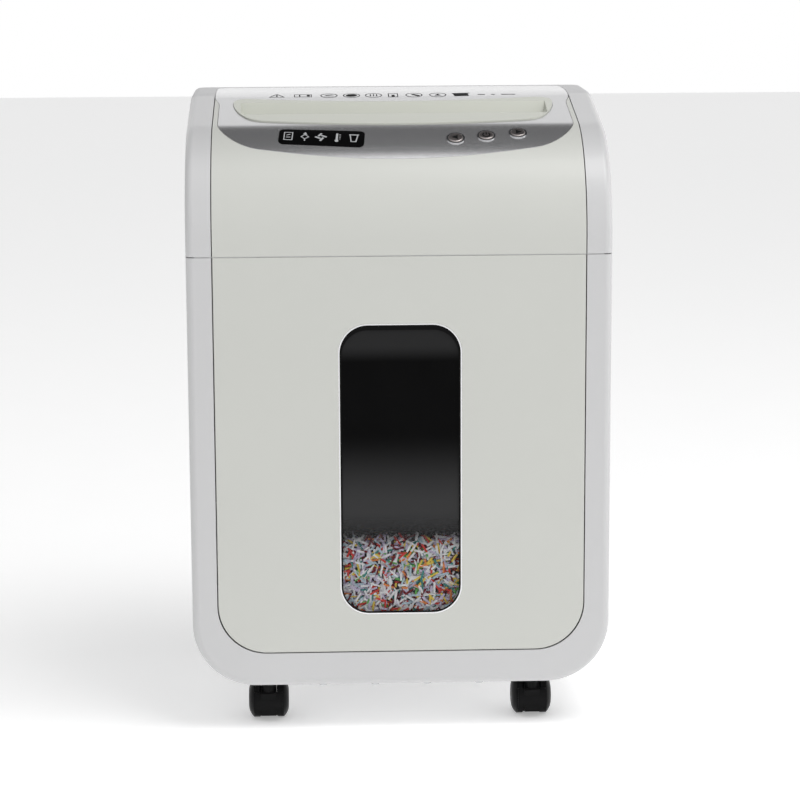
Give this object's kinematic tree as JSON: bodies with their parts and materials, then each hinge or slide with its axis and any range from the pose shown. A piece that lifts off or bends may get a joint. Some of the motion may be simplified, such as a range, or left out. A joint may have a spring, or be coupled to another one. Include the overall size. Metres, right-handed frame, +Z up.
{
  "type": "paper shredder",
  "caption": "Free-standing paper shredder on twin-wheel casters, with a top feed slot, sloping control strip, motor-driven cutters and a pull-out bin with a window.",
  "frame": {"origin": "on the floor below the centre of the body, at the casters' lowest level", "axes": "+X to the right seen from the front, +Y from the front panel to the back, +Z up"},
  "size_m": [0.342, 0.25, 0.512],
  "materials": {
    "white_shell": "fine satin moulded",
    "front_panel": "fine satin moulded",
    "silver_deck": "metallic silver paint on plastic",
    "cream_slot": "satin",
    "grey_rear": "fine textured",
    "black_gloss": "gloss",
    "bright_trim": "bright plated",
    "smoked_window": "smoked clear acrylic",
    "button_taupe": "satin metallic",
    "dark_plastic": "moulded",
    "rail_plastic": "moulded",
    "bare_steel": "ground",
    "bronze": "sintered",
    "nylon_gear": "nylon",
    "motor_zinc": "zinc plated",
    "copper_winding": "wound copper",
    "green_board": "solder mask",
    "paper_shreds": "mixed cross-cut shreds",
    "caster_black": "nylon",
    "caster_tread": "nylon"
  },
  "bodies": {
    "cabinet": {"back_panel": "grey_rear", "base_plate": "dark_plastic", "bin_switch": "dark_plastic", "button_rings": "bright_trim", "cabinet_surround": "white_shell", "caster_stems": "bare_steel", "control_board": "green_board", "cutter_bushes": "bronze", "cutter_plates": "bare_steel", "gear_plate": "bare_steel", "gear_posts": "bare_steel", "head_base_frame": "dark_plastic", "head_front_panel": "front_panel", "head_rear_cover": "grey_rear", "indicator_board": "green_board", "indicator_lens": "black_gloss", "left_cheek": "white_shell", "motor_can": "motor_zinc", "motor_cradle": "bare_steel", "paper_sensor": "dark_plastic", "power_inlet": "dark_plastic", "rear_screws": "bare_steel", "right_cheek": "white_shell", "slide_rails": "rail_plastic", "slot_insert": "cream_slot", "stripper_combs": "dark_plastic", "tie_rods": "bare_steel", "top_deck": "silver_deck", "underside_screws": "bare_steel"},
    "drawer": {"drawer_front": "front_panel", "window_rim": "bright_trim", "window_gasket": "black_gloss", "window_lens": "smoked_window", "bin_tub": "dark_plastic", "bin_runners": "rail_plastic", "shred_heap": "paper_shreds"},
    "front_cutter": {"front_cutter_shaft": "bare_steel", "front_cutter_discs": "bare_steel", "front_mesh_gear": "bare_steel"},
    "rear_cutter": {"rear_cutter_shaft": "bare_steel", "rear_cutter_discs": "bare_steel", "rear_mesh_gear": "bare_steel", "drive_gear": "bare_steel"},
    "idler": {"idler_shaft": "bare_steel", "idler_gear": "nylon_gear"},
    "motor_rotor": {"motor_shaft": "bare_steel", "motor_armature": "copper_winding", "motor_pinion": "bronze"},
    "reverse_button": {"reverse_button": "button_taupe"},
    "power_button": {"power_button": "button_taupe"},
    "forward_button": {"forward_button": "button_taupe"},
    "front_left_swivel": {"front_left_caster_hood": "caster_black"},
    "front_left_wheels": {"front_left_caster_wheels": "caster_tread"},
    "front_right_swivel": {"front_right_caster_hood": "caster_black"},
    "front_right_wheels": {"front_right_caster_wheels": "caster_tread"},
    "rear_left_swivel": {"rear_left_caster_hood": "caster_black"},
    "rear_left_wheels": {"rear_left_caster_wheels": "caster_tread"},
    "rear_right_swivel": {"rear_right_caster_hood": "caster_black"},
    "rear_right_wheels": {"rear_right_caster_wheels": "caster_tread"}
  },
  "joints": [
    {"name": "drawer_slide", "type": "slide", "parent": "cabinet", "child": "drawer", "axis": [0, -1, 0], "range_m": [0, 0.19]},
    {"name": "rear_cutter_spin", "type": "hinge", "parent": "cabinet", "child": "rear_cutter", "pos_m": [0, 0.009, 0.44], "axis": [1, 0, 0], "continuous": true},
    {"name": "front_cutter_spin", "type": "hinge", "parent": "cabinet", "child": "front_cutter", "pos_m": [0, -0.021, 0.44], "axis": [1, 0, 0], "continuous": true},
    {"name": "idler_spin", "type": "hinge", "parent": "cabinet", "child": "idler", "pos_m": [0.13, 0.04489, 0.44283], "axis": [1, 0, 0], "continuous": true},
    {"name": "motor_spin", "type": "hinge", "parent": "cabinet", "child": "motor_rotor", "pos_m": [0.07, 0.075, 0.432], "axis": [1, 0, 0], "continuous": true},
    {"name": "reverse_press", "type": "slide", "parent": "cabinet", "child": "reverse_button", "axis": [0, 0.4944, -0.8692], "range_m": [0, 0.0012], "stiffness_N_per_m": 400},
    {"name": "power_press", "type": "slide", "parent": "cabinet", "child": "power_button", "axis": [0, 0.4622, -0.8868], "range_m": [0, 0.0012], "stiffness_N_per_m": 400},
    {"name": "forward_press", "type": "slide", "parent": "cabinet", "child": "forward_button", "axis": [0, 0.4233, -0.906], "range_m": [0, 0.0012], "stiffness_N_per_m": 400},
    {"name": "front_left_swivel_turn", "type": "hinge", "parent": "cabinet", "child": "front_left_swivel", "pos_m": [-0.11, -0.094, 0.03], "axis": [0, 0, 1], "continuous": true},
    {"name": "front_left_wheel_roll", "type": "hinge", "parent": "front_left_swivel", "child": "front_left_wheels", "pos_m": [-0.11, -0.083, 0.016], "axis": [1, 0, 0], "continuous": true},
    {"name": "front_right_swivel_turn", "type": "hinge", "parent": "cabinet", "child": "front_right_swivel", "pos_m": [0.11, -0.094, 0.03], "axis": [0, 0, 1], "continuous": true},
    {"name": "front_right_wheel_roll", "type": "hinge", "parent": "front_right_swivel", "child": "front_right_wheels", "pos_m": [0.11, -0.083, 0.016], "axis": [1, 0, 0], "continuous": true},
    {"name": "rear_left_swivel_turn", "type": "hinge", "parent": "cabinet", "child": "rear_left_swivel", "pos_m": [-0.11, 0.088, 0.03], "axis": [0, 0, 1], "continuous": true},
    {"name": "rear_left_wheel_roll", "type": "hinge", "parent": "rear_left_swivel", "child": "rear_left_wheels", "pos_m": [-0.11, 0.099, 0.016], "axis": [1, 0, 0], "continuous": true},
    {"name": "rear_right_swivel_turn", "type": "hinge", "parent": "cabinet", "child": "rear_right_swivel", "pos_m": [0.11, 0.088, 0.03], "axis": [0, 0, 1], "continuous": true},
    {"name": "rear_right_wheel_roll", "type": "hinge", "parent": "rear_right_swivel", "child": "rear_right_wheels", "pos_m": [0.11, 0.099, 0.016], "axis": [1, 0, 0], "continuous": true}
  ],
  "couplings": [
    {"joint": "front_cutter_spin", "follows": "rear_cutter_spin", "ratio": -1},
    {"joint": "idler_spin", "follows": "rear_cutter_spin", "ratio": -2.4286},
    {"joint": "motor_spin", "follows": "rear_cutter_spin", "ratio": 10.524}
  ]
}
